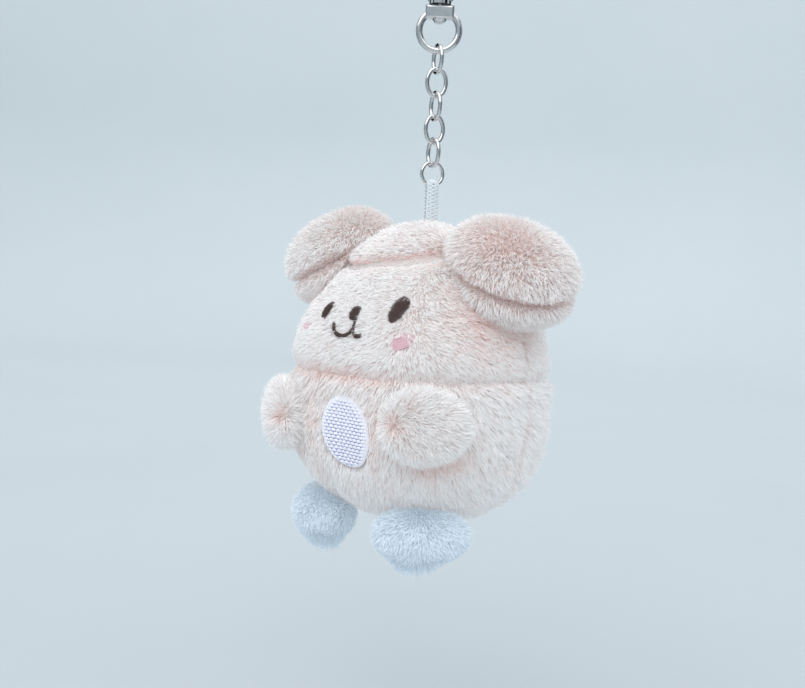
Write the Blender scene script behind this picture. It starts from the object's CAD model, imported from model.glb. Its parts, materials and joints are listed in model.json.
import json
import math

import bpy
import numpy as np
from mathutils import Matrix, Vector
from mathutils.bvhtree import BVHTree
from mathutils.kdtree import KDTree


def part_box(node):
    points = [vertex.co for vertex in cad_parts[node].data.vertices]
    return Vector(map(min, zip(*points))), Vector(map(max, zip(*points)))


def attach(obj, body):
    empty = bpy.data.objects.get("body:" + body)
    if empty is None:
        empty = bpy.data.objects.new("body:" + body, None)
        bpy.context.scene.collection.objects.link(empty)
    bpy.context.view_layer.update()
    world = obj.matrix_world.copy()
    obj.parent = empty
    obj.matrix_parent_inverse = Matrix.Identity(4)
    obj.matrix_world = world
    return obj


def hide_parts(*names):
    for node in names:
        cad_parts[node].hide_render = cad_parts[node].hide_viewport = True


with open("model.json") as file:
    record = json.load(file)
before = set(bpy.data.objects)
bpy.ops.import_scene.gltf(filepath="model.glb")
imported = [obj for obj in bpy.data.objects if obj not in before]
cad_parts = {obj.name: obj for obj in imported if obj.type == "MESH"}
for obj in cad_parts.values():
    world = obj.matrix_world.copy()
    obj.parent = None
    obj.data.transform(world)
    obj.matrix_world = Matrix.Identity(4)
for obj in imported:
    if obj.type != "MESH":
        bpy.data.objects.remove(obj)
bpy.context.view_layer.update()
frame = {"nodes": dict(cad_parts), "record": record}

bl_info = {
    "name": "Plush keychain",
    "version": (1, 0, 0),
    "blender": (4, 5, 0),
    "location": "3D View > Sidebar > Plush",
    "description": "Stuffed toy with pile fabric, stitched face, tape loop and plated chain",
    "category": "Add Mesh",
}

MM = 0.001
SIDES = {"left": 1, "right": -1}
IMAGE_WIDTH = 805

# Where the toy's panels meet, in millimetres, from the frame.
CROWN_LOW, CROWN_HIGH = (np.array(c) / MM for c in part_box("crown_panel"))
FACE_LOW, FACE_HIGH = (np.array(c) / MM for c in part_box("face_panel"))
BELLY_LOW, BELLY_HIGH = (np.array(c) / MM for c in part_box("belly_panel"))
BACK_LOW, BACK_HIGH = (np.array(c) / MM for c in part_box("back_panel"))
NECK_Z = FACE_LOW[2]
SIDE_Y = BELLY_HIGH[1]
EGG_TOP_Z = CROWN_HIGH[2]
EGG_BOTTOM_Z = BELLY_LOW[2]
EGG_HALF_WIDTH = (BELLY_HIGH[0] - BELLY_LOW[0]) / 2
EGG_HALF_DEPTH = (BACK_HIGH[1] - BELLY_LOW[1]) / 2
EGG_WIDEST_Z = EGG_BOTTOM_Z + 0.42 * (EGG_TOP_Z - EGG_BOTTOM_Z)
EGG_TOP_POWER = 2.0
EGG_BOTTOM_POWER = 2.7
FOREHEAD_Y = -26.0
FOREHEAD_Z = CROWN_LOW[2] - 1.4
FOREHEAD_SLOPE = math.radians(18.0)
FOREHEAD_TILT = 0.16

# Sizes of the stuffed limbs, in millimetres: half length, half width, half thickness.
EAR_HALF = (20.6, 18.0, 9.5)
EAR_NORMAL = (0.375, -0.282, 0.883)
ARM_HALF = (12.0, 9.6, 5.3)
ARM_DIRECTION = math.radians(35.6)
FOOT_HALF = (14.2, 9.8, 7.9)
FOOT_DIRECTION = math.radians(41.0)


# ---------------------------------------------------------------- user settings

class PlushShape(bpy.types.PropertyGroup):
    """Sizes of the fabric and its pile."""

    skin_depth: bpy.props.FloatProperty(
        name="Fabric depth", description="How far the fabric lies inside the toy's outline", unit="LENGTH", default=1.3 * MM)
    seam_depth: bpy.props.FloatProperty(
        name="Seam depth", description="How far a seam pulls the fabric in", unit="LENGTH", default=1.1 * MM)
    swell: bpy.props.FloatProperty(
        name="Swell", description="Most that the stuffing pushes a panel out", unit="LENGTH", default=0.9 * MM)
    bulge: bpy.props.FloatProperty(
        name="Bulge", description="How far the cheeks and the belly stand out", unit="LENGTH", default=4.4 * MM)
    pile_body: bpy.props.FloatProperty(
        name="Body pile", description="Pile length on the body and the head's back", unit="LENGTH", default=3.6 * MM)
    pile_face: bpy.props.FloatProperty(
        name="Face pile", description="Pile length on the face", unit="LENGTH", default=2.2 * MM)
    pile_ear: bpy.props.FloatProperty(
        name="Ear pile", description="Pile length on the ears", unit="LENGTH", default=3.3 * MM)
    pile_arm: bpy.props.FloatProperty(
        name="Arm pile", description="Pile length on the arms", unit="LENGTH", default=3.9 * MM)
    pile_foot: bpy.props.FloatProperty(
        name="Foot pile", description="Pile length on the feet", unit="LENGTH", default=2.5 * MM)
    density: bpy.props.FloatProperty(
        name="Pile density", description="Fibres in a square millimetre", default=8.0)


class PlushColour(bpy.types.PropertyGroup):
    """Colours of the fabrics, threads and floor."""

    root: bpy.props.FloatVectorProperty(
        name="Pile root", description="Colour at the foot of the pile", subtype="COLOR", default=(0.86, 0.42, 0.33))
    tip: bpy.props.FloatVectorProperty(
        name="Pile tip", description="Colour at the end of the pile", subtype="COLOR", default=(0.945, 0.94, 0.938))
    white: bpy.props.FloatVectorProperty(
        name="Foot pile", description="Colour of the white feet", subtype="COLOR", default=(0.87, 0.94, 1.0))
    dark: bpy.props.FloatVectorProperty(
        name="Dark thread", description="Eyes, nose and mouth", subtype="COLOR", default=(0.045, 0.022, 0.020))
    cheek: bpy.props.FloatVectorProperty(
        name="Cheek thread", description="Cheeks", subtype="COLOR", default=(0.85, 0.50, 0.56))
    patch: bpy.props.FloatVectorProperty(
        name="Patch thread", description="Belly patch", subtype="COLOR", default=(0.90, 0.91, 1.0))
    floor: bpy.props.FloatVectorProperty(
        name="Floor", description="Floor and backdrop", subtype="COLOR", default=(0.535, 0.59, 0.62))


class PlushCamera(bpy.types.PropertyGroup):
    """Where the camera stands."""

    azimuth: bpy.props.FloatProperty(
        name="Azimuth", description="Turn round the toy", subtype="ANGLE", default=math.radians(38.446))
    elevation: bpy.props.FloatProperty(
        name="Elevation", description="Height angle", subtype="ANGLE", default=math.radians(4.573))
    roll: bpy.props.FloatProperty(
        name="Roll", description="Tilt of the camera", subtype="ANGLE", default=math.radians(2.58))
    distance: bpy.props.FloatProperty(
        name="Distance", description="From the aim point", unit="LENGTH", default=295.67 * MM)
    focal: bpy.props.FloatProperty(name="Focal length", description="In image widths", default=958.572 / IMAGE_WIDTH)
    aim: bpy.props.FloatVectorProperty(
        name="Aim", description="Point on the chain's axis", subtype="XYZ", unit="LENGTH",
        default=(0, 0, -110.0 * MM))
    offset: bpy.props.FloatVectorProperty(
        name="Offset", description="Right and up", size=2, unit="LENGTH", default=(-6.76 * MM, -14.688 * MM))


# ---------------------------------------------------------------- shader maths

class Value:
    """A number socket that can be used in a Python expression."""

    def __init__(self, finish, socket):
        self.finish = finish
        self.socket = socket

    def _math(self, operation, first, second):
        node = self.finish.node("ShaderNodeMath", {"operation": operation}, {0: first, 1: second})
        return Value(self.finish, node.outputs[0])

    def __add__(self, other):
        return self._math("ADD", self, other)

    def __radd__(self, other):
        return self._math("ADD", other, self)

    def __sub__(self, other):
        return self._math("SUBTRACT", self, other)

    def __rsub__(self, other):
        return self._math("SUBTRACT", other, self)

    def __mul__(self, other):
        return self._math("MULTIPLY", self, other)

    def __rmul__(self, other):
        return self._math("MULTIPLY", other, self)

    def __pow__(self, other):
        return self._math("POWER", self, other)


class Finish:
    """One material: a Principled surface and the nodes that feed it."""

    def __init__(self, name):
        self.material = bpy.data.materials.new(name)
        self.material.use_nodes = True
        self.tree = self.material.node_tree
        self.shader = self.tree.nodes["Principled BSDF"]

    def node(self, kind, settings=None, inputs=None):
        """Any node, with its settings made first and then its sockets filled or linked."""
        node = self.tree.nodes.new(kind)
        for key, value in (settings or {}).items():
            setattr(node, key, value)
        self.fill(node, inputs or {})
        return node

    def fill(self, node, inputs):
        """Gives sockets their numbers, colours or links."""
        for key, value in inputs.items():
            if isinstance(value, Value):
                value = value.socket
            if isinstance(value, bpy.types.NodeSocket):
                self.tree.links.new(value, node.inputs[key])
            else:
                node.inputs[key].default_value = value

    def place(self):
        """Object coordinates."""
        return self.node("ShaderNodeTexCoord").outputs["Object"]

    def uneven(self, scale, detail=3.0, stretch=(1, 1, 1)):
        """Soft noise from 0 to 1, with an optional stretch of the pattern."""
        mapped = self.node("ShaderNodeMapping", None, {"Vector": self.place(), "Scale": stretch})
        noise = self.node("ShaderNodeTexNoise", None,
                          {"Vector": mapped.outputs[0], "Scale": scale, "Detail": detail, "Roughness": 0.6})
        return Value(self, noise.outputs[0])

    def ridges(self, scale, direction="X", distortion=2.0):
        """Parallel ridges such as threads, from 0 to 1."""
        settings = {"wave_type": "BANDS", "bands_direction": direction}
        wave = self.node("ShaderNodeTexWave", settings,
                         {"Vector": self.place(), "Scale": scale, "Distortion": distortion, "Detail": 2.0})
        return Value(self, wave.outputs["Fac"])

    def blend(self, factor, first, second):
        """Colour between two colours."""
        node = self.node("ShaderNodeMix", {"data_type": "RGBA"},
                         {0: factor, 6: first if not isinstance(first, tuple) else first,
                          7: second})
        return node.outputs[2]

    def relief(self, height, distance, strength=0.6):
        """Normal that shows a height."""
        bump = self.node("ShaderNodeBump", None, {"Height": height, "Distance": distance, "Strength": strength})
        return bump.outputs[0]

    def surface(self, **inputs):
        """Sets the Principled sockets, with underscores for spaces."""
        self.fill(self.shader, {key.replace("_", " "): value for key, value in inputs.items()})
        return self.material


def opaque(colour):
    """Colour with full alpha."""
    return (colour[0], colour[1], colour[2], 1.0)


def mixed(first, second, share):
    """Colour part of the way from the first to the second."""
    return opaque([a + (b - a) * share for a, b in zip(first, second)])


def plated_metal():
    """Bright nickel plating with faint clouding."""
    finish = Finish("plated_metal")
    cloud = finish.uneven(900.0)
    fine = finish.uneven(6000.0, 2.0)
    return finish.surface(
        Base_Color=finish.blend(cloud, (0.60, 0.60, 0.61, 1), (0.80, 0.80, 0.80, 1)),
        Metallic=1.0,
        Roughness=0.07 + 0.10 * cloud,
        Normal=finish.relief(fine, 0.00001, 0.25))


def steel():
    """Plain drawn steel of the gate's pin and spring."""
    finish = Finish("drawn_steel")
    cloud = finish.uneven(1500.0, 3.0, (1, 6, 1))
    return finish.surface(
        Base_Color=finish.blend(cloud, (0.38, 0.38, 0.39, 1), (0.62, 0.62, 0.62, 1)),
        Metallic=1.0,
        Roughness=0.22 + 0.2 * cloud)


def backing(name, colour, deep):
    """Knitted backing cloth under the pile."""
    finish = Finish(name)
    fleck = finish.uneven(500.0, 4.0)
    knit = finish.ridges(900.0, "Z")
    return finish.surface(
        Base_Color=finish.blend(fleck, opaque(deep), opaque(colour)),
        Roughness=0.85 + 0.1 * fleck,
        Normal=finish.relief(knit, 0.0001))


def thread(name, colour, shade, gloss=0.38, glow=0.0):
    """Polyester embroidery thread with its twist."""
    finish = Finish(name)
    twist = finish.ridges(2600.0, "DIAGONAL", 1.0)
    tone = finish.uneven(700.0)
    return finish.surface(
        Base_Color=finish.blend(tone, opaque(shade), opaque(colour)),
        Roughness=gloss + 0.15 * twist,
        Normal=finish.relief(twist, 0.00005, 0.5),
        Specular_IOR_Level=0.4,
        Sheen_Weight=0.04,
        Emission_Color=opaque(colour),
        Emission_Strength=glow)


def fibre(name, colour, glow):
    """One shade of pile fibre; the glow stands for light scattered inside the pile."""
    finish = Finish(name)
    return finish.surface(Base_Color=opaque(colour), Roughness=0.6, Specular_IOR_Level=0.25, Sheen_Weight=0.2,
                          Sheen_Roughness=0.5, Emission_Color=opaque(colour), Emission_Strength=glow)


# ---------------------------------------------------------------- mesh helpers

def select_only(piece):
    """Makes a piece the only one selected, and active."""
    bpy.ops.object.select_all(action="DESELECT")
    piece.select_set(True)
    bpy.context.view_layer.objects.active = piece


def read_points(mesh):
    """Vertex places of a mesh, in millimetres."""
    flat = np.zeros(len(mesh.vertices) * 3, np.float32)
    mesh.vertices.foreach_get("co", flat)
    return flat.reshape(-1, 3).astype(float) / MM


def write_points(mesh, points):
    """Moves a mesh's vertices to places given in millimetres."""
    mesh.vertices.foreach_set("co", (np.asarray(points) * MM).astype(np.float32).ravel())
    mesh.update()


def ball(name, segments, rings):
    """New unit ball, and the directions of its vertices."""
    bpy.ops.object.select_all(action="DESELECT")
    bpy.ops.mesh.primitive_uv_sphere_add(segments=segments, ring_count=rings, radius=1.0, location=(0, 0, 0))
    piece = bpy.context.object
    piece.name = name
    piece.data.name = name
    return piece, read_points(piece.data) * MM


def unit(vectors):
    """Vectors scaled to length one."""
    length = np.linalg.norm(vectors, axis=-1, keepdims=True)
    return vectors / np.maximum(length, 1e-9)


def ripple(points, size, seed):
    """Smooth noise from -1 to 1 at points, with features about the given size across."""
    random = np.random.default_rng(seed)
    waves = unit(random.normal(size=(7, 3))) * random.uniform(0.7, 1.5, (7, 1)) * 2 * math.pi / size
    phases = random.uniform(0, 2 * math.pi, 7)
    return np.sin(points @ waves.T + phases).mean(axis=1) * 2.0


def near(distance, width):
    """Falls smoothly from 1 at no distance to 0 a few widths away."""
    return np.exp(-(distance / width) ** 2)


def zone(points, centre, reach):
    """1 at a place, falling smoothly to 0 about a reach away from it; the same on both sides of the toy."""
    shares = (np.abs(points[:, 0]) - centre[0], points[:, 1] - centre[1], points[:, 2] - centre[2])
    return np.exp(-sum((share / length) ** 2 for share, length in zip(shares, reach)))


def finish_skin(piece, material, body, nodes):
    """Smooth shading, material and declarations of a stuffed skin."""
    select_only(piece)
    bpy.ops.object.shade_smooth()
    piece.data.materials.clear()
    piece.data.materials.append(material)
    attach(piece, body)
    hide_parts(*nodes)


def stuff(piece, held, most):
    """Swells a closed skin with cloth pressure, keeping its seams where they are."""
    big = 10.0
    before = read_points(piece.data)
    write_points(piece.data, before * big)
    seam = piece.vertex_groups.new(name="seam")
    for index in np.nonzero(held > 0.02)[0]:
        seam.add([int(index)], float(min(held[index], 1.0)), "REPLACE")
    select_only(piece)
    bpy.ops.object.modifier_add(type="CLOTH")
    cloth = piece.modifiers[-1]
    settings = cloth.settings
    settings.quality = 4
    settings.use_pressure = True
    settings.uniform_pressure_force = 4.0
    settings.effector_weights.gravity = 0.0
    settings.vertex_group_mass = seam.name
    for frame_number in range(1, 21):
        bpy.context.scene.frame_set(frame_number)
    bpy.ops.object.modifier_apply(modifier=cloth.name)
    bpy.context.scene.frame_set(1)
    moved = read_points(piece.data) / big - before
    length = np.linalg.norm(moved, axis=1, keepdims=True)
    moved *= np.minimum(1.0, most / np.maximum(length, 1e-6))
    write_points(piece.data, before + moved)
    piece.vertex_groups.clear()


# ---------------------------------------------------------------- the toy's egg shape

def egg_shares(z):
    """How far out the egg reaches at a height, as a share of its widest."""
    above = np.clip((z - EGG_WIDEST_Z) / (EGG_TOP_Z - EGG_WIDEST_Z), 0, 1)
    below = np.clip((EGG_WIDEST_Z - z) / (EGG_WIDEST_Z - EGG_BOTTOM_Z), 0, 1)
    top = (1 - above ** EGG_TOP_POWER) ** (1 / EGG_TOP_POWER)
    bottom = (1 - below ** EGG_BOTTOM_POWER) ** (1 / EGG_BOTTOM_POWER)
    return np.where(z > EGG_WIDEST_Z, top, bottom)


def egg_places(directions, grow):
    """Points of the egg for directions on a unit ball."""
    rise = np.clip(directions[:, 2], -1, 1)
    flat = np.sqrt(1 - rise ** 2)
    power = np.where(rise > 0, EGG_TOP_POWER, EGG_BOTTOM_POWER)
    height = np.where(rise > 0, EGG_TOP_Z - EGG_WIDEST_Z, EGG_WIDEST_Z - EGG_BOTTOM_Z) + grow
    share = flat ** (2 / power)
    turn = np.arctan2(directions[:, 0], -directions[:, 1])
    x = (EGG_HALF_WIDTH + grow) * share * np.sin(turn)
    y = -(EGG_HALF_DEPTH + grow) * share * np.cos(turn)
    z = EGG_WIDEST_Z + height * np.sign(rise) * np.abs(rise) ** (2 / power)
    return np.stack([x, y, z], axis=1)


def egg_depth(points, grow):
    """How deep points are inside the egg, about in millimetres, and the way out."""
    centre = np.array([0, 0, EGG_WIDEST_Z])
    offset = points - centre
    up = offset[:, 2] > 0
    height = np.where(up, EGG_TOP_Z - EGG_WIDEST_Z, EGG_WIDEST_Z - EGG_BOTTOM_Z) + grow
    flat = np.hypot(offset[:, 0] / (EGG_HALF_WIDTH + grow), offset[:, 1] / (EGG_HALF_DEPTH + grow))
    power = np.where(up, EGG_TOP_POWER, EGG_BOTTOM_POWER)
    reach = (flat ** power + np.abs(offset[:, 2] / height) ** power) ** (1 / power)
    return reach, offset


def push_out(points, grow):
    """Moves points that are inside the egg out to its surface."""
    reach, offset = egg_depth(points, grow)
    inside = reach < 1.0
    scale = np.where(inside, 1.0 / np.maximum(reach, 0.2), 1.0)
    return np.array([0, 0, EGG_WIDEST_Z]) + offset * scale[:, None]


def forehead_distance(points):
    """Signed distance above the sloping plane of the forehead seam."""
    rise = points[:, 2] - FOREHEAD_Z - FOREHEAD_TILT * np.minimum(points[:, 0], 0)
    run = points[:, 1] - FOREHEAD_Y
    return rise * math.cos(FOREHEAD_SLOPE) - run * math.sin(FOREHEAD_SLOPE)


def seam_pull(points):
    """How strongly the seams hold each point of the body, from 0 to 1."""
    head = points[:, 2] > NECK_Z
    neck = near(points[:, 2] - NECK_Z, 2.2)
    side = near(points[:, 1] - SIDE_Y, 1.6) * np.where(head, 0.35, 0.75)
    side = side * (forehead_distance(points) < 0)
    forehead = 0.5 * near(forehead_distance(points), 1.5) * (points[:, 1] < 12)
    return np.clip(np.maximum(np.maximum(neck, side), forehead), 0, 1)


def make_body_skin(shape, colour):
    """Head and body as one stuffed skin, drawn in at its seams."""
    piece, directions = ball("body_skin", 144, 112)
    points = egg_places(directions, -shape.skin_depth / MM - shape.swell / MM * 0.5)
    write_points(piece.data, points)
    stuff(piece, seam_pull(points), shape.swell / MM)
    refine(piece)
    points = read_points(piece.data)
    outward = unit(points - np.array([0, 0, EGG_WIDEST_Z]))
    above = forehead_distance(points)
    front = 1 / (1 + np.exp((points[:, 1] + 2) / 2.5))
    lip = 0.7 / (1 + np.exp(-above / 0.35)) * np.exp(-np.maximum(above, 0) / 9.0) * front
    crease = 1.3 * near(above + 0.4, 0.8) * front
    swelling = zone(points, (20, -30, -125), (18, 15, 13)) + 0.7 * zone(points, (18, -31, -152), (18, 14, 16))
    change = lip - crease - shape.seam_depth / MM * seam_pull(points) + 0.35 * ripple(points, 17.0, 3)
    change = change + shape.bulge / MM * swelling
    write_points(piece.data, points + outward * change[:, None])
    nodes = ["crown_panel", "face_panel", "head_back_panel", "belly_panel", "back_panel", "body_stuffing"]
    finish_skin(piece, backing("plush_backing", (0.88, 0.80, 0.775), (0.84, 0.70, 0.65)), "toy", nodes)
    return piece


def refine(piece):
    """Divides every face of a skin in four, smoothly."""
    select_only(piece)
    bpy.ops.object.modifier_add(type="SUBSURF")
    piece.modifiers[-1].levels = 1
    piece.modifiers[-1].render_levels = 1
    bpy.ops.object.modifier_apply(modifier=piece.modifiers[-1].name)


def surface_tree(piece):
    """Search tree of a skin, for placing things on it."""
    mesh = piece.data
    corners = read_points(mesh)
    faces = [tuple(face.vertices) for face in mesh.polygons]
    return BVHTree.FromPolygons([Vector(p) for p in corners], faces)


def on_front(tree, x, z, lift):
    """Point above the toy's front at a width and height, with the surface normal."""
    place, normal, _, _ = tree.ray_cast(Vector((x, -90.0, z)), Vector((0, 1, 0)))
    if place is None:
        raise RuntimeError("nothing to stitch on at %.1f, %.1f" % (x, z))
    return np.array(place + normal * lift), np.array(normal)


# ---------------------------------------------------------------- stitches

def stitch_shape():
    """Vertices and faces of one plump stitch, lying along X, one unit long each way."""
    piece, points = ball("stitch", 6, 7)
    points = points[:, [2, 0, 1]]
    along = np.sign(points[:, 0]) * np.abs(points[:, 0]) ** 0.7
    around = np.maximum(np.hypot(points[:, 1], points[:, 2]), 1e-6)
    full = np.sqrt(np.clip(1 - np.abs(along) ** 6, 0, 1))
    points = np.stack([along, points[:, 1] / around * full, points[:, 2] / around * full], axis=1)
    faces = [tuple(face.vertices) for face in piece.data.polygons]
    mesh = piece.data
    bpy.data.objects.remove(piece)
    bpy.data.meshes.remove(mesh)
    return points, faces


def stitched(name, stitches, materials):
    """One piece from many stitches, each (start, end, normal, half width, half height, material)."""
    shape, faces = stitch_shape()
    places = []
    corners = []
    kinds = []
    for start, end, normal, half_width, half_height, kind in stitches:
        start = np.array(start)
        end = np.array(end)
        along = unit(end - start)
        side = unit(np.cross(normal, along))
        up = np.cross(along, side)
        half = np.linalg.norm(end - start) / 2
        first = len(places) * len(shape)
        places.append((start + end) / 2 + shape[:, :1] * half * along + shape[:, 1:2] * half_width * side
                      + shape[:, 2:3] * half_height * up)
        corners += [tuple(first + index for index in face) for face in faces]
        kinds += [kind] * len(faces)
    mesh = bpy.data.meshes.new(name)
    mesh.from_pydata((np.concatenate(places) * MM).tolist(), [], corners)
    mesh.polygons.foreach_set("material_index", kinds)
    mesh.polygons.foreach_set("use_smooth", [True] * len(kinds))
    for material in materials:
        mesh.materials.append(material)
    mesh.update()
    piece = bpy.data.objects.new(name, mesh)
    bpy.context.scene.collection.objects.link(piece)
    return piece


def satin_oval(tree, centre, half, lean, lift, dome, step, seed, slant=0.0):
    """Rows of satin stitch that fill an oval on the toy's front."""
    random = np.random.default_rng(seed)
    stitches = []
    lean = math.radians(lean)
    rows = int(2 * half[1] / step)
    for row in range(rows):
        v = -half[1] + (row + 0.5) * step
        chord = half[0] * math.sqrt(max(0.0, 1 - (v / half[1]) ** 2))
        ends = [-chord - random.uniform(-0.1, 0.35), chord + random.uniform(-0.1, 0.35)]
        height = lift + dome * math.sqrt(max(0.0, 1 - (v / half[1]) ** 2))
        places = []
        for u in ends:
            w = v + slant * u
            x = centre[0] + u * math.cos(lean) + w * math.sin(lean)
            z = centre[1] - u * math.sin(lean) + w * math.cos(lean)
            places.append(on_front(tree, x, z, height))
        (start, normal), (end, _) = places
        stitches.append((start, end, normal, step * 0.62, step * 0.75, 0))
    return stitches


def line_stitches(tree, route, lift, width, step, seed):
    """Close cross stitches along a line on the toy's front, as satin stitch has."""
    random = np.random.default_rng(seed)
    route = np.array(route)
    lengths = np.concatenate([[0], np.cumsum(np.linalg.norm(np.diff(route, axis=0), axis=1))])
    stitches = []
    for place in np.arange(0, lengths[-1], step):
        x = np.interp(place, lengths, route[:, 0])
        z = np.interp(place, lengths, route[:, 1])
        x2 = np.interp(place + 0.2, lengths, route[:, 0])
        z2 = np.interp(place + 0.2, lengths, route[:, 1])
        along = unit(np.array([x2 - x + 1e-6, z2 - z]))
        across = np.array([-along[1], along[0]]) + along * 0.35
        half = width / 2 + random.uniform(-0.05, 0.15)
        start, normal = on_front(tree, x - across[0] * half, z - across[1] * half, lift)
        end, _ = on_front(tree, x + across[0] * half, z + across[1] * half, lift)
        stitches.append((start, end, normal, step * 0.75, step * 0.9, 0))
    return stitches


# How far each stitched feature moves sideways and up where the stuffing stands out, in millimetres.
STITCH_SHIFT = {"eye_left": (1.5, -0.5), "eye_right": (0.3, -0.4), "cheek_left": (3.3, 0.0), "nose": (0.5, 0.0),
                "mouth": (1.8, -0.2)}


def front_middle(node):
    """Middle of a stitched node as width and height on the toy's front."""
    low, high = (np.array(c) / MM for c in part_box(node))
    shift = STITCH_SHIFT.get(node, (0, 0))
    return ((low[0] + high[0]) / 2 + shift[0], (low[2] + high[2]) / 2 + shift[1])


def ride_stitched(piece, node):
    """Fixes a stitched piece to the toy in place of its plain node."""
    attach(piece, "toy")
    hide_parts(node)


def arc_route(centre, radius, start, sweep, flat=1.0, steps=14):
    """Points of a round stretch, angles in degrees."""
    angles = [math.radians(start + sweep * i / steps) for i in range(steps + 1)]
    return [(centre[0] + radius * math.cos(a), centre[1] + radius * math.sin(a) * flat) for a in angles]


def mouth_route():
    """Line of the mouth: from the far lobe up to the nose and down the near lobe."""
    low, high = (np.array(c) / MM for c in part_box("mouth"))
    low[0] += STITCH_SHIFT["mouth"][0]
    high[0] += STITCH_SHIFT["mouth"][0]
    nose_x = front_middle("nose")[0] + 0.8
    top = high[2] + STITCH_SHIFT["mouth"][1]
    wide = (nose_x - low[0]) / 2
    far = arc_route((nose_x - wide, top), wide, 180, 180, 0.88)
    small = (high[0] - nose_x) / 2
    close = arc_route((nose_x + small, top - 0.4), small, 180, 125, 1.0)
    return far + [(nose_x, top + 1.8)], [(nose_x, top)] + close


def make_face(tree, colour):
    """Eyes, nose, mouth and cheeks in satin stitch."""
    dark = thread("dark_thread", colour.dark, mixed(colour.dark, (0.2, 0.12, 0.1), 0.4)[:3])
    pink = thread("cheek_thread", colour.cheek, mixed(colour.cheek, (0.95, 0.75, 0.8), 0.7)[:3])
    for side, sign in SIDES.items():
        name = "eye_" + side
        half = (2.35, 3.55) if side == "left" else (1.5, 2.6)
        spots = satin_oval(tree, front_middle(name), half, 13.0, 0.3, 0.75, 0.36, 5 + sign, -0.25 * sign)
        ride_stitched(stitched(name + "_stitch", spots, [dark]), name)
        name = "cheek_" + side
        half = (2.8, 2.5) if side == "left" else (1.5, 1.5)
        spots = satin_oval(tree, front_middle(name), half, 20.0, 0.2, 0.35, 0.4, 9 + sign, 0.3)
        ride_stitched(stitched(name + "_stitch", spots, [pink]), name)
    spots = satin_oval(tree, front_middle("nose"), (1.7, 2.1), 20.0, 0.4, 0.7, 0.36, 13, 0.2)
    ride_stitched(stitched("nose_stitch", spots, [dark]), "nose")
    spots = []
    for index, route in enumerate(mouth_route()):
        spots += line_stitches(tree, route, 0.85, 1.0, 0.3, 17 + index)
    ride_stitched(stitched("mouth_stitch", spots, [dark]), "mouth")


def make_patch(tree, colour):
    """Oval belly patch of filled stitch with a satin edge."""
    pale = thread("patch_thread", colour.patch, mixed(colour.patch, (1, 1, 1), 0.5)[:3], 0.5, 0.13)
    deep = thread("patch_shadow_thread", (0.34, 0.34, 0.70), (0.44, 0.44, 0.78), 0.6)
    middle = front_middle("belly_patch")
    half = (8.4, 9.9)
    lean = math.radians(-19.0)
    spots = []

    def at(x, z, lift):
        return on_front(tree, middle[0] + x, middle[1] + z, lift)

    def place(u, v, lift):
        return at(u * math.cos(lean) + v * math.sin(lean), v * math.cos(lean) - u * math.sin(lean), lift)

    def row_ends(z):
        x = np.linspace(-12, 12, 481)
        u = x * math.cos(lean) - z * math.sin(lean)
        v = x * math.sin(lean) + z * math.cos(lean)
        inside = x[(u / (half[0] - 0.3)) ** 2 + (v / (half[1] - 0.3)) ** 2 < 1]
        return (inside[0], inside[-1]) if len(inside) else None

    step = 0.95
    length = 1.6
    for row in range(-13, 14):
        z = row * step
        ends = row_ends(z)
        if ends is None:
            continue
        x = length * (math.floor(ends[0] / length) - (row % 2) / 2)
        while x < ends[1]:
            first = max(x, ends[0])
            last = min(x + length * 0.95, ends[1])
            if last - first > 0.3:
                start, normal = at(first, z, 1.5)
                end, _ = at(last, z + 0.08, 1.5)
                spots.append((start, end, normal, step * 0.56, 0.3, 0))
            if x + 0.2 * length > ends[0] + 0.8 and x + 0.7 * length < ends[1] - 0.8 and z > -8.6:
                start, normal = at(x + 0.2 * length, z - step / 2, 1.66)
                end, _ = at(x + 0.7 * length, z - step / 2, 1.66)
                spots.append((start, end, normal, 0.17, 0.1, 1))
            x += length
        under = np.linspace(ends[0], ends[1], 9)
        for first, last in zip(under[:-1], under[1:]):
            start, normal = at(first, z, 1.22)
            end, _ = at(last, z, 1.22)
            spots.append((start, end, normal, step * 0.56, 0.18, 1))
    for index in range(190):
        angle = 2 * math.pi * index / 190
        inner = (half[0] - 0.75) * math.cos(angle), (half[1] - 0.75) * math.sin(angle)
        outer = (half[0] + 0.3) * math.cos(angle + 0.03), (half[1] + 0.3) * math.sin(angle + 0.03)
        start, normal = place(*inner, 1.4)
        end, _ = place(*outer, 0.95)
        spots.append((start, end, normal, 0.19, 0.24, 0))
    ride_stitched(stitched("belly_patch_stitch", spots, [pale, deep]), "belly_patch")


def make_seam_stitches(tree, colour):
    """Row of small white stitches just under the forehead seam."""
    white = thread("seam_thread", (0.92, 0.91, 0.90), (0.82, 0.80, 0.80))
    spots = []
    for index in range(58):
        turn = math.radians(-62 + 124 * index / 57)
        share = 0.62
        x = EGG_HALF_WIDTH * share * math.sin(turn)
        y = -EGG_HALF_DEPTH * share * math.cos(turn)
        z = FOREHEAD_Z + (y - FOREHEAD_Y) * math.tan(FOREHEAD_SLOPE) + FOREHEAD_TILT * min(x, 0) - 1.8
        out = Vector((x, y, 0)).normalized()
        place, normal, _, _ = tree.ray_cast(Vector((0, 0, z)) + out * 80, -out)
        if place is None:
            raise RuntimeError("no fabric under the forehead seam")
        side = Vector((-out.y, out.x, 0))
        middle = place + normal * 1.1
        start = middle - side * 0.24
        end = middle + side * 0.24 + Vector((0, 0, 0.12))
        spots.append((start, end, np.array(normal), 0.22, 0.22, 0))
    piece = stitched("forehead_stitches", spots, [white])
    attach(piece, "toy")


# ---------------------------------------------------------------- stuffed limbs

def pad_axes(long_way, normal, side):
    """Directions of a pad's length, width and thickness."""
    normal = unit(np.array(normal) * [side, 1, 1])
    long_way = np.array(long_way) * [side, 1, 1]
    long_way = unit(long_way - normal * np.dot(long_way, normal))
    return np.array([long_way, np.cross(normal, long_way), normal])


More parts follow.
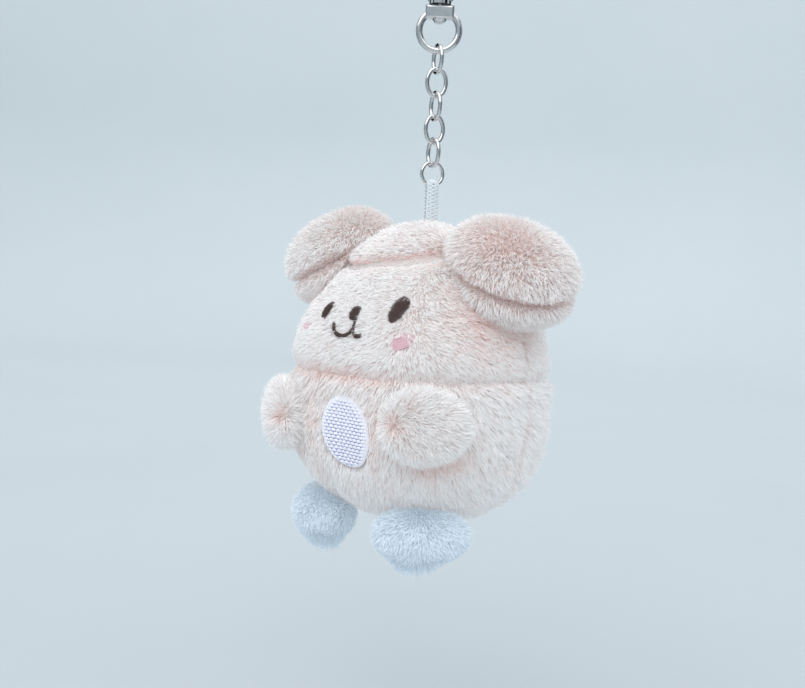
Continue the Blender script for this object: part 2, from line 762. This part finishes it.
def pad_centre(nodes, half, axes, corner):
    """Centre of a pad from its nodes' box: each corner entry picks the low side, the high side or the middle."""
    boxes = [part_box(node) for node in nodes]
    low = np.min([np.array(b[0]) for b in boxes], axis=0) / MM
    high = np.max([np.array(b[1]) for b in boxes], axis=0) / MM
    reach = np.sqrt(((np.array(half)[:, None] * axes) ** 2).sum(axis=0))
    choices = {-1: low + reach, 1: high - reach, 0: (low + high) / 2}
    return np.array([choices[c][axis] for axis, c in enumerate(corner)])


def limb_nodes(name):
    """CAD nodes of a limb."""
    return [name + "_outer_cover", name + "_inner_cover", name + "_stuffing"]


def make_pad_skin(name, half, centre, axes, shape, material, rim=0.9, point=0.0, belly=2.4,
                  underside=1.0, topside=1.0):
    """Two covers sewn round their rim and stuffed, set against the body."""
    piece, directions = ball(name + "_skin", 72, 48)
    rise = directions[:, 2]
    flat = np.sqrt(np.clip(1 - rise ** 2, 0, 1))
    turn = np.arctan2(directions[:, 1], directions[:, 0])
    spread = flat ** (2 / belly)
    rise = np.where(rise < 0, rise * underside, rise * topside)
    narrow = 1 - point * (1 - np.cos(turn)) / 2
    local = np.stack([spread * np.cos(turn), spread * np.sin(turn) * narrow, rise], axis=1)
    held = near(rise, 0.07 + 0.03 * rim)
    grown = np.array(half) - shape.skin_depth / MM
    points = centre + (local * grown) @ axes
    write_points(piece.data, points)
    stuff(piece, held, shape.swell / MM)
    points = read_points(piece.data)
    inward = unit(centre - points)
    points = points + inward * (held * rim)[:, None]
    points = push_out(points, 0.35)
    write_points(piece.data, points)
    finish_skin(piece, material, name, limb_nodes(name))
    return piece


def make_ear_skin(name, sign, shape, material):
    """Fat floppy ear."""
    axes = pad_axes((1, 0, 0), EAR_NORMAL, sign)
    centre = pad_centre(limb_nodes(name), EAR_HALF, axes, (sign, 0, 0))
    centre = centre - np.array([sign * 1.0, 0, 1.3])
    skin = make_pad_skin(name, EAR_HALF, centre, axes, shape, material, 3.0, 0.12, 2.4, 1.4, 1.62)
    return skin, centre, axes


def make_arm_skin(name, sign, shape, material):
    """Short flat arm lying on the body."""
    along = (math.cos(ARM_DIRECTION), math.sin(ARM_DIRECTION), 0)
    outward = (math.sin(ARM_DIRECTION), -math.cos(ARM_DIRECTION), 0)
    axes = pad_axes(along, outward, sign)
    centre = pad_centre(limb_nodes(name), ARM_HALF, axes, (-sign, -1, 0)) + axes[2] * 1.4
    return make_pad_skin(name, ARM_HALF, centre, axes, shape, material, 1.0, -0.15), centre, axes


def make_foot_skin(name, sign, shape, material):
    """Stubby foot under the front of the body."""
    along = (math.cos(FOOT_DIRECTION), math.sin(FOOT_DIRECTION), 0)
    axes = pad_axes(along, (0, 0, 1), sign)
    centre = pad_centre(limb_nodes(name), FOOT_HALF, axes, (sign, -1, -1))
    centre = centre + np.array([sign * 0.4, 0.6, 1.6])
    return make_pad_skin(name, FOOT_HALF, centre, axes, shape, material, 0.1), centre, axes


# ---------------------------------------------------------------- pile

SHADE_SHARES = (0.0, 0.3, 0.55, 0.75, 0.9, 1.0)


class Pile:
    """How one piece of pile fabric looks."""

    def __init__(self, length, density, lay=0.62, loose=0.14, width=0.115, clump=0.16, droop=0.1, pink=None,
                 comb=None, keep=None, trim=None):
        self.length = length
        self.density = density
        self.lay = lay
        self.loose = loose
        self.width = width
        self.clump = clump
        self.droop = droop
        self.pink = pink
        self.comb = comb
        self.keep = keep
        self.trim = trim


def scatter(piece, density, seed):
    """Evenly random points on a skin, with their normals."""
    mesh = piece.data
    mesh.calc_loop_triangles()
    points = read_points(mesh)
    normals = np.zeros(len(mesh.vertices) * 3, np.float32)
    mesh.vertices.foreach_get("normal", normals)
    normals = normals.reshape(-1, 3).astype(float)
    triangles = np.zeros(len(mesh.loop_triangles) * 3, np.int32)
    mesh.loop_triangles.foreach_get("vertices", triangles)
    triangles = triangles.reshape(-1, 3)
    a, b, c = points[triangles[:, 0]], points[triangles[:, 1]], points[triangles[:, 2]]
    areas = np.linalg.norm(np.cross(b - a, c - a), axis=1) / 2
    random = np.random.default_rng(seed)
    count = int(areas.sum() * density)
    chosen = random.choice(len(triangles), count, p=areas / areas.sum())
    u, v = random.random(count), random.random(count)
    over = u + v > 1
    u[over], v[over] = 1 - u[over], 1 - v[over]
    weights = np.stack([1 - u - v, u, v], axis=1)
    corners = triangles[chosen]
    places = (points[corners] * weights[:, :, None]).sum(axis=1)
    outward = unit((normals[corners] * weights[:, :, None]).sum(axis=1))
    return places, outward, random


def gathered(roots, tips, random, strength):
    """Draws each tip part of the way to the middle of its tuft."""
    count = max(1, len(roots) // 22)
    leaders = random.choice(len(roots), count, replace=False)
    tree = KDTree(count)
    for index, leader in enumerate(leaders):
        tree.insert(Vector(roots[leader]), index)
    tree.balance()
    nearest = np.array([tree.find(Vector(root))[1] for root in roots])
    leader = leaders[nearest]
    target = tips[leader] + (roots - roots[leader]) * 0.35
    share = strength * random.uniform(0.4, 1.3, (len(roots), 1))
    return tips + (target - tips) * np.clip(share, 0, 0.9)


def grow_pile(name, piece, pile, shades, body, seed):
    """Covers a skin, or part of one, with tapered curved fibres."""
    density = pile.density * 1.0
    roots, outward, random = scatter(piece, density, seed)
    if pile.keep is not None:
        kept = pile.keep(roots, outward)
        roots, outward = roots[kept], outward[kept]
    count = len(roots)
    comb = pile.comb(roots, outward)
    comb = unit(comb - outward * (comb * outward).sum(axis=1, keepdims=True))
    sway = ripple(roots, 9.0, seed + 1)[:, None] * 0.24 + ripple(roots, 3.2, seed + 2)[:, None] * 0.16
    comb = unit(comb + np.cross(outward, comb) * sway)
    lay = pile.lay * (1 + 0.22 * ripple(roots, 5.0, seed + 3)[:, None])
    lay = np.clip(lay, 0, 0.93)
    stray = random.normal(size=(count, 3)) * pile.loose
    start = unit(outward * (1 - 0.55 * lay) + comb * 0.55 * lay + stray * 0.6)
    down = np.array([0, 0, -1.0]) * pile.droop
    end = unit(outward * (1 - lay) + comb * lay * 1.25 + stray * 1.4 + down)
    length = pile.length * random.uniform(0.72, 1.18, (count, 1))
    if pile.trim is not None:
        length = length * pile.trim(roots)[:, None]
    foot = roots - outward * 0.25
    tip = foot + start * length * 0.45 + end * length * 0.55
    tip = gathered(foot, tip, random, pile.clump)
    low = foot + start * length * 0.36
    high = low * 0.42 + tip * 0.58 + (start - end) * length * 0.06
    way = unit(tip - foot)
    side = unit(np.cross(way, outward) + random.normal(size=(count, 3)) * 0.45)
    side = unit(side - way * (side * way).sum(axis=1, keepdims=True))
    half = pile.width * random.uniform(0.75, 1.25, (count, 1))
    rows = [foot - side * half, foot + side * half, low - side * half, low + side * half,
            high - side * half * 0.72, high + side * half * 0.72, tip]
    places = np.stack(rows, axis=1).reshape(-1, 3)
    corner = np.array([0, 1, 3, 2, 2, 3, 5, 4, 4, 5, 6])
    loops = (np.arange(count)[:, None] * 7 + corner).ravel()
    starts = (np.arange(count)[:, None] * 11 + np.array([0, 4, 8])).ravel()
    mesh = bpy.data.meshes.new(name)
    mesh.vertices.add(count * 7)
    write_points(mesh, places)
    mesh.loops.add(len(loops))
    mesh.loops.foreach_set("vertex_index", loops.astype(np.int32))
    mesh.polygons.add(count * 3)
    mesh.polygons.foreach_set("loop_start", starts.astype(np.int32))
    pink = 0.62 * pile.pink(roots) * random.uniform(0.0, 2.1, count) + 0.03 * ripple(roots, 8.0, seed + 4)
    pink = np.clip(pink, 0, 1)[:, None] * np.array([1.0, 0.8, 0.35]) + np.array([0.07, 0.02, 0.0])
    pink = pink + random.normal(size=(count, 3)) * 0.035
    edges = (np.array(SHADE_SHARES[1:]) + np.array(SHADE_SHARES[:-1])) / 2
    kinds = np.searchsorted(edges, 1 - pink).ravel()
    mesh.polygons.foreach_set("material_index", kinds.astype(np.int32))
    for material in shades:
        mesh.materials.append(material)
    mesh.update(calc_edges=True)
    fur = bpy.data.objects.new(name, mesh)
    bpy.context.scene.collection.objects.link(fur)
    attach(fur, body)
    return fur


def shade_set(name, root, tip, glow=0.08):
    """Shades of one fabric's fibre, from the pinkest to the palest."""
    shades = enumerate(SHADE_SHARES)
    return [fibre("%s_%d" % (name, index), mixed(root, tip, share), glow) for index, share in shades]


def comb_body(points, outward):
    """Pile of the body runs down, and back round the sides."""
    turn = np.arctan2(points[:, 0], -points[:, 1])
    back = np.stack([np.cos(turn), np.sin(turn), np.zeros(len(turn))], axis=1) * np.sign(turn)[:, None]
    share = 1.3 * np.clip((np.abs(turn) - 0.5) / 1.1, 0, 1) * np.clip((2.9 - np.abs(turn)) / 0.5, 0, 1)
    return np.array([0, 0, -1.0]) + back * share[:, None]


def comb_crown(points, outward):
    """Pile of the crown runs across it, and down over its front edge."""
    drop = np.where(points[:, 1] < -8, -0.75, 0.0)
    return np.stack([np.full(len(points), -0.9), np.full(len(points), -0.25), drop], axis=1)


def comb_face(points, outward):
    """Pile of the face lies down and to the toy's right in front, and runs back at its sides."""
    side = np.clip((points[:, 0] - 6) / 22, 0, 1)[:, None]
    front = np.array([-0.75, 0.0, -0.66])
    back = np.array([0.35, 0.75, -0.75])
    return front + (back - front) * side


def comb_head(points, outward):
    """Pile of the head's back runs down."""
    return np.tile([-0.25, 0.3, -1.0], (len(points), 1))


def comb_from(centre, direction, pull):
    """Pile that spreads out from a point, drawn one way."""
    def comb(points, outward):
        return unit(points - centre) + np.array(direction) * pull
    return comb


def seam_trim(points):
    """Pile is shorter where the fabric is gathered into a seam."""
    forehead = near(forehead_distance(points) + 0.7, 1.7) * (points[:, 1] < 6)
    neck = near(points[:, 2] - NECK_Z, 1.6)
    return 1 - 0.76 * forehead - 0.35 * neck * (1 - forehead)


def inside_oval(points, centre, half, lean=0.0):
    """Which points lie inside an oval seen from the front."""
    lean = math.radians(lean)
    dx = points[:, 0] - centre[0]
    dz = points[:, 2] - centre[1]
    u = dx * math.cos(lean) - dz * math.sin(lean)
    v = dx * math.sin(lean) + dz * math.cos(lean)
    return ((u / half[0]) ** 2 + (v / half[1]) ** 2 < 1) & (points[:, 1] < 0)


def bare_places(points):
    """Where embroidery takes the place of pile."""
    bare = inside_oval(points, front_middle("belly_patch"), (8.8, 10.3), -19.0)
    for side in SIDES:
        bare |= inside_oval(points, front_middle("eye_" + side), (1.6, 2.8) if side == "left" else (0.7, 1.6), 13.0)
        bare |= inside_oval(points, front_middle("cheek_" + side), (2.0, 1.8) if side == "left" else (0.5, 0.5), 20.0)
    bare |= inside_oval(points, front_middle("nose"), (1.4, 1.8))
    line = [p for route in mouth_route() for p in route]
    for x, z in line:
        bare |= inside_oval(points, (x, z), (0.55, 0.55))
    return bare


def panel_test(low_z, high_z, front, under):
    """Which points are on one panel of the head or body."""
    def keep(points, outward):
        test = (points[:, 2] >= low_z) & (points[:, 2] < high_z) & ~bare_places(points)
        over = forehead_distance(points) > 0
        if front is not None:
            test &= (points[:, 1] < SIDE_Y) == front
        if under is not None:
            test &= over != under
        loop_hole = np.hypot(points[:, 0], points[:, 1]) < 1.8
        return test & ~(loop_hole & (points[:, 2] > EGG_TOP_Z - 10))
    return keep


def body_pink(points):
    """Where the pile of the head and body shows its pink root, from 0 to 1."""
    front = points[:, 1] < SIDE_Y
    neck = near(points[:, 2] - NECK_Z - 0.5, 2.2) * (0.07 + 0.5 * near(points[:, 0] + 4, 22.0) * front)
    under_ear = 0.9 * zone(points, (35, -13, -110), (11, 15, 12))
    under_arm = 0.55 * zone(points, (27, -27, -153), (9, 9, 5)) + 0.3 * zone(points, (11, -35, -146), (3, 5, 13))
    side = 0.2 * near(points[:, 1] - SIDE_Y, 0.9) * (points[:, 2] < NECK_Z)
    forehead = 0.8 * near(forehead_distance(points) - 0.2, 0.7) * (points[:, 1] < 0)
    crown = 0.08 * (forehead_distance(points) > 0)
    streak = 0.03 + 0.04 * ripple(points * [2.5, 2.5, 0.5], 12.0, 77)
    parts = (neck, under_ear, under_arm, side, forehead, crown)
    return np.clip(streak + sum(parts), 0, 1)


def split(keep, low_x, high_x):
    """A panel's test for one of its upright strips."""
    def part(points, outward):
        return keep(points, outward) & (points[:, 0] >= low_x) & (points[:, 0] < high_x)
    return part


def grow_body_pile(skin, shape, colour):
    """Pile of the five panels of the head and body, each in a left and a right half."""
    shades = shade_set("plush_fibre", colour.root, colour.tip)
    far = 500.0
    long = shape.pile_body / MM
    dense = shape.density
    plan = [
        ("crown_pile", NECK_Z, far, None, False, (long * 0.8, dense, 0.62), comb_crown),
        ("face_pile", NECK_Z, far, True, True, (shape.pile_face / MM, dense * 1.35, 0.68, 0.12, 0.1), comb_face),
        ("head_back_pile", NECK_Z, far, False, True, (long * 0.85, dense, 0.62), comb_head),
        ("belly_pile", -far, NECK_Z, True, None, (long, dense, 0.72), comb_body),
        ("back_pile", -far, NECK_Z, False, None, (long, dense, 0.72), comb_body),
    ]
    for index, (name, low, high, front, under, look, comb) in enumerate(plan):
        keep = panel_test(low, high, front, under)
        for half, low_x, high_x in (("left", 0, far), ("right", -far, 0)):
            pile = Pile(*look, pink=body_pink, comb=comb, keep=split(keep, low_x, high_x), trim=seam_trim)
            grow_pile(name + "_" + half, skin, pile, shades, "toy", 100 + 10 * index + int(low_x < 0))


# ---------------------------------------------------------------- tape loop

def tape_route(rows):
    """Middle line of the tape: up one leg, over the jump ring and down the other, with its outward direction."""
    low, high = (np.array(c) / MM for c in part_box("hanging_loop"))
    ring_low, ring_high = (np.array(c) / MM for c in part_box("jump_ring"))
    turn = math.atan2(ring_high[1] - ring_low[1], ring_high[0] - ring_low[0])
    thick = np.array([math.sin(turn), -math.cos(turn), 0])
    wide = np.array([math.cos(turn), math.sin(turn), 0])
    radius = 1.2
    fold_z = ring_low[2] + 0.5
    straight = fold_z - (EGG_TOP_Z - 4.0)
    total = 2 * straight + math.pi * radius
    points = []
    outs = []
    for s in np.linspace(0, total, rows):
        if s < straight:
            x, z, out = radius, fold_z - straight + s, (1, 0)
        elif s < straight + math.pi * radius:
            angle = (s - straight) / radius
            x, z, out = radius * math.cos(angle), fold_z + radius * math.sin(angle), (math.cos(angle), math.sin(angle))
        else:
            x, z, out = -radius, fold_z - (s - straight - math.pi * radius), (-1, 0)
        points.append(thick * x + np.array([0, 0, z]))
        outs.append(thick * out[0] + np.array([0, 0, out[1]]))
    return np.array(points), np.array(outs), wide, total


def make_tape(colour):
    """Flat braid of four plaited strands."""
    white = thread("tape_thread", (0.90, 0.94, 0.96), (0.74, 0.82, 0.87), 0.5)
    rows = 150
    points, outs, wide, total = tape_route(rows)
    s = np.linspace(0, total, rows)
    strands = []
    for index in range(4):
        phase = 2 * math.pi * index / 4
        wave = 2 * math.pi * s / 4.4 + phase
        path = points + wide * (1.6 * np.sin(wave))[:, None] + outs * (0.3 * np.cos(2 * wave))[:, None]
        curve = bpy.data.curves.new("tape_strand", "CURVE")
        curve.dimensions = "3D"
        curve.bevel_depth = 0.42 * MM
        curve.bevel_resolution = 3
        curve.use_fill_caps = True
        spline = curve.splines.new("POLY")
        spline.points.add(rows - 1)
        for point, place in zip(spline.points, path):
            point.co = (*(place * MM), 1.0)
        strand = bpy.data.objects.new("tape_strand", curve)
        bpy.context.scene.collection.objects.link(strand)
        strands.append(strand)
    bpy.ops.object.select_all(action="DESELECT")
    for strand in strands:
        strand.select_set(True)
    bpy.context.view_layer.objects.active = strands[0]
    bpy.ops.object.convert(target="MESH")
    bpy.ops.object.join()
    tape = bpy.context.object
    tape.name = "tape_braid"
    bpy.ops.object.shade_smooth()
    tape.data.materials.clear()
    tape.data.materials.append(white)
    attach(tape, "toy")
    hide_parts("hanging_loop")


# ---------------------------------------------------------------- stage

def make_floor(colour):
    """Pale floor that curves up all round into a backdrop."""
    bpy.ops.object.select_all(action="DESELECT")
    bpy.ops.mesh.primitive_circle_add(vertices=96, radius=1.3, fill_type="NGON", location=(0, 0, -0.26))
    floor = bpy.context.object
    floor.name = "floor"
    bpy.ops.object.mode_set(mode="EDIT")
    bpy.ops.mesh.select_all(action="SELECT")
    bpy.ops.mesh.extrude_region_move(TRANSFORM_OT_translate={"value": (0, 0, 0)})
    bpy.ops.object.mode_set(mode="OBJECT")
    points = read_points(floor.data)
    floor_mesh = floor.data
    rings = [(1300.0, 0.0)]
    for index in range(1, 13):
        angle = math.radians(90 * index / 12)
        rings.append((1300.0 + 500.0 * math.sin(angle), 500.0 * (1 - math.cos(angle))))
    rings.append((1850.0, 950.0))
    count = 96
    places = [(0, 0, 0)]
    for radius, height in rings:
        for index in range(count):
            angle = 2 * math.pi * index / count
            places.append((radius * math.cos(angle), radius * math.sin(angle), height))
    faces = [(0, 1 + i, 1 + (i + 1) % count) for i in range(count)]
    for ring in range(len(rings) - 1):
        low = 1 + ring * count
        high = low + count
        for i in range(count):
            j = (i + 1) % count
            faces.append((low + i, high + i, high + j, low + j))
    floor_mesh.clear_geometry()
    floor_mesh.from_pydata((np.array(places) * MM).tolist(), [], faces)
    floor_mesh.polygons.foreach_set("use_smooth", [True] * len(faces))
    finish = Finish("floor_paper")
    cloud = finish.uneven(3.0, 4.0)
    soft = mixed(colour.floor, (1, 1, 1), 0.10)
    floor_mesh.materials.append(finish.surface(Base_Color=finish.blend(cloud, opaque(colour.floor), soft), Roughness=0.95))


def far_lamp(name, direction, strength, spread, tint):
    """Distant lamp with soft shadows, shining from a direction."""
    lamp = bpy.data.lights.new(name, "SUN")
    lamp.energy = strength
    lamp.angle = math.radians(spread)
    lamp.color = tint
    holder = bpy.data.objects.new(name, lamp)
    bpy.context.scene.collection.objects.link(holder)
    holder.rotation_euler = direction.to_track_quat("Z", "Y").to_euler()


def make_lights(right, toward):
    """Broad key from the upper left, a weak one from the right and an even pale sky."""
    up = Vector((0, 0, 1))
    far_lamp("key", toward * 0.9 - right * 0.5 + up * 0.95, 1.0, 70.0, (1.0, 0.99, 0.98))
    far_lamp("fill", toward * 0.9 + right * 0.7 + up * 0.3, 0.5, 80.0, (0.95, 0.98, 1.0))
    world = bpy.data.worlds.new("sky")
    world.use_nodes = True
    background = world.node_tree.nodes["Background"]
    background.inputs[0].default_value = (0.93, 0.965, 1.0, 1)
    background.inputs[1].default_value = 1.05
    bpy.context.scene.world = world
    bpy.context.scene.view_settings.view_transform = "Standard"


def make_cards(right, toward):
    """Dark cards that only polished metal reflects, for contrast in the plating."""
    finish = Finish("dark_card")
    material = finish.surface(Base_Color=(0.01, 0.01, 0.01, 1), Roughness=1.0, Specular_IOR_Level=0.0)
    aim = Vector((0, 0, -0.06))
    for index, (turn, width) in enumerate(((62, 0.30), (128, 0.42), (20, 0.05), (-78, 0.12), (-142, 0.40))):
        angle = math.radians(turn)
        way = toward * math.cos(angle) + right * math.sin(angle)
        bpy.ops.object.select_all(action="DESELECT")
        bpy.ops.mesh.primitive_plane_add(size=1.0, location=(0, 0, 0))
        card = bpy.context.object
        card.name = "card_%d" % index
        spin = way.to_track_quat("Z", "Y").to_matrix().to_4x4()
        shape = Matrix.Diagonal((width, 0.9, 1, 1))
        card.data.transform(Matrix.Translation(aim + way * 0.5) @ spin @ shape)
        card.data.materials.append(material)
        card.visible_camera = False
        card.visible_diffuse = False
        card.visible_shadow = False


def make_camera(camera):
    """Camera at the viewing angle, a little tilted."""
    azimuth, elevation, roll = camera.azimuth, camera.elevation, camera.roll
    toward = Vector((math.sin(azimuth) * math.cos(elevation), -math.cos(azimuth) * math.cos(elevation),
                     math.sin(elevation)))
    right = Vector((math.cos(azimuth), math.sin(azimuth), 0))
    up = right.cross(-toward)
    place = Vector(camera.aim) + toward * camera.distance + right * camera.offset[0] + up * camera.offset[1]
    across = right * math.cos(roll) + up * math.sin(roll)
    rise = up * math.cos(roll) - right * math.sin(roll)
    data = bpy.data.cameras.new("camera")
    data.sensor_width = 36.0
    data.lens = 36.0 * camera.focal
    data.clip_start = 0.01
    data.clip_end = 50.0
    holder = bpy.data.objects.new("camera", data)
    bpy.context.scene.collection.objects.link(holder)
    holder.matrix_world = Matrix.Translation(place) @ Matrix((across, rise, toward)).transposed().to_4x4()
    bpy.context.scene.camera = holder
    return right, Vector((toward.x, toward.y, 0)).normalized()


# ---------------------------------------------------------------- operators

def skin_of(name):
    """A finished skin, which its own operator has to have made."""
    if name not in bpy.data.objects:
        raise RuntimeError("make %s first" % name)
    return bpy.data.objects[name]


class PLUSH_OT_hardware(bpy.types.Operator):
    """Plate the hook, swivel and chain, and braid the hanging loop"""

    bl_idname = "plush.hardware"
    bl_label = "Hardware and loop"

    def execute(self, context):
        metal = plated_metal()
        plain = steel()
        for name, node in frame["nodes"].items():
            slot = next(s["material_slot"] for s in frame["record"]["subparts"] if s["node"] == name)
            if slot in ("plated_metal", "steel"):
                node.data.materials.clear()
                node.data.materials.append(metal if slot == "plated_metal" else plain)
        make_tape(context.scene.plush_colour)
        return {"FINISHED"}


class PLUSH_OT_body(bpy.types.Operator):
    """Stuff the head and body and grow their pile"""

    bl_idname = "plush.body"
    bl_label = "Head and body"

    def execute(self, context):
        scene = context.scene
        skin = make_body_skin(scene.plush_shape, scene.plush_colour)
        grow_body_pile(skin, scene.plush_shape, scene.plush_colour)
        return {"FINISHED"}


class PLUSH_OT_face(bpy.types.Operator):
    """Stitch the face, the belly patch and the forehead seam"""

    bl_idname = "plush.face"
    bl_label = "Stitching"

    def execute(self, context):
        tree = surface_tree(skin_of("body_skin"))
        make_face(tree, context.scene.plush_colour)
        make_patch(tree, context.scene.plush_colour)
        make_seam_stitches(tree, context.scene.plush_colour)
        return {"FINISHED"}


class PLUSH_OT_limbs(bpy.types.Operator):
    """Stuff the ears, arms and feet and grow their pile"""

    bl_idname = "plush.limbs"
    bl_label = "Ears, arms and feet"

    def execute(self, context):
        shape = context.scene.plush_shape
        colour = context.scene.plush_colour
        pink = backing("limb_backing", (0.86, 0.74, 0.70), (0.80, 0.58, 0.52))
        pale = backing("foot_backing", (0.88, 0.93, 0.97), (0.78, 0.86, 0.93))
        plush = shade_set("limb_fibre", colour.root, colour.tip)
        white = shade_set("foot_fibre", mixed(colour.white, (0.70, 0.84, 0.96), 0.8), colour.white, 0.07)
        for side, sign in SIDES.items():
            self.ear("ear_" + side, sign, shape, pink, plush)
            self.arm("arm_" + side, sign, shape, pink, plush)
            self.foot("foot_" + side, sign, shape, pale, white)
        return {"FINISHED"}

    def ear(self, name, sign, shape, material, shades):
        skin, centre, axes = make_ear_skin(name, sign, shape, material)

        def flat_place(points):
            return (points - centre) @ axes.T

        def comb(points, outward):
            return unit(points - centre) + np.array((0.1 * sign, -0.2, -0.45))

        def trim(points):
            return 1 - 0.6 * near(flat_place(points)[:, 2], 2.0)

        def pink(points):
            u, v, t = flat_place(points).T
            middle = 0.28 * np.exp(-((u + 1) / 13) ** 2 - ((v + 7) / 9) ** 2) * (t > 0)
            return 0.03 + middle + 0.4 * near(t, 1.6)

        pile = Pile(shape.pile_ear / MM, shape.density, 0.42, 0.16, comb=comb, trim=trim, pink=pink)
        grow_pile(name + "_pile", skin, pile, shades, name, 300 + 20 * sign)

    def arm(self, name, sign, shape, material, shades):
        skin, centre, axes = make_arm_skin(name, sign, shape, material)
        parting = centre - axes[0] * 8 + axes[2] * 3

        def pink(points):
            return 0.04 + 0.3 * near(np.linalg.norm(points - parting, axis=1), 2.2)

        comb = comb_from(parting, tuple(axes[0]), 0.7)
        pile = Pile(shape.pile_arm / MM, shape.density * 1.3, 0.52, 0.2, clump=0.1, comb=comb, pink=pink)
        grow_pile(name + "_pile", skin, pile, shades, name, 400 + 20 * sign)

    def foot(self, name, sign, shape, material, shades):
        skin, centre, axes = make_foot_skin(name, sign, shape, material)

        def trim(points):
            return 1 + 2.0 * near(np.linalg.norm(points - centre + [2 * sign, 0, 8], axis=1), 5.0)

        def pink(points):
            return 0.04 + 0.1 * np.clip((centre[2] - points[:, 2]) / 8, 0, 1)

        comb = comb_from(centre, (0.25 * sign, -0.25, -1.0), 0.5)
        pile = Pile(shape.pile_foot / MM, shape.density * 1.7, 0.5, 0.14, 0.11, 0.15, comb=comb, trim=trim, pink=pink)
        grow_pile(name + "_pile", skin, pile, shades, name, 500 + 20 * sign)


class PLUSH_OT_stage(bpy.types.Operator):
    """Make the camera, the floor and the soft lights"""

    bl_idname = "plush.stage"
    bl_label = "Stage"

    def execute(self, context):
        right, toward = make_camera(context.scene.plush_camera)
        make_floor(context.scene.plush_colour)
        make_lights(right, toward)
        make_cards(right, toward)
        return {"FINISHED"}


OPERATORS = (PLUSH_OT_stage, PLUSH_OT_hardware, PLUSH_OT_body, PLUSH_OT_face, PLUSH_OT_limbs)


class PLUSH_PT_panel(bpy.types.Panel):
    """Lists the operators and their settings"""

    bl_idname = "PLUSH_PT_panel"
    bl_label = "Plush keychain"
    bl_space_type = "VIEW_3D"
    bl_region_type = "UI"
    bl_category = "Plush"

    def draw(self, context):
        for operator in OPERATORS:
            self.layout.operator(operator.bl_idname)
        for group in ("plush_shape", "plush_colour", "plush_camera"):
            settings = getattr(context.scene, group)
            for name in settings.bl_rna.properties.keys():
                if name not in ("rna_type", "name"):
                    self.layout.prop(settings, name)


SETTINGS = {"plush_shape": PlushShape, "plush_colour": PlushColour, "plush_camera": PlushCamera}


def register():
    for group in SETTINGS.values():
        bpy.utils.register_class(group)
    for operator in OPERATORS:
        bpy.utils.register_class(operator)
    bpy.utils.register_class(PLUSH_PT_panel)
    for name, group in SETTINGS.items():
        setattr(bpy.types.Scene, name, bpy.props.PointerProperty(type=group))


def unregister():
    for name in SETTINGS:
        delattr(bpy.types.Scene, name)
    bpy.utils.unregister_class(PLUSH_PT_panel)
    for operator in reversed(OPERATORS):
        bpy.utils.unregister_class(operator)
    for group in SETTINGS.values():
        bpy.utils.unregister_class(group)


def main():
    """Builds everything."""
    register()
    bpy.ops.plush.stage()
    bpy.ops.plush.hardware()
    bpy.ops.plush.body()
    bpy.ops.plush.face()
    bpy.ops.plush.limbs()


if __name__ == "__main__":
    main()
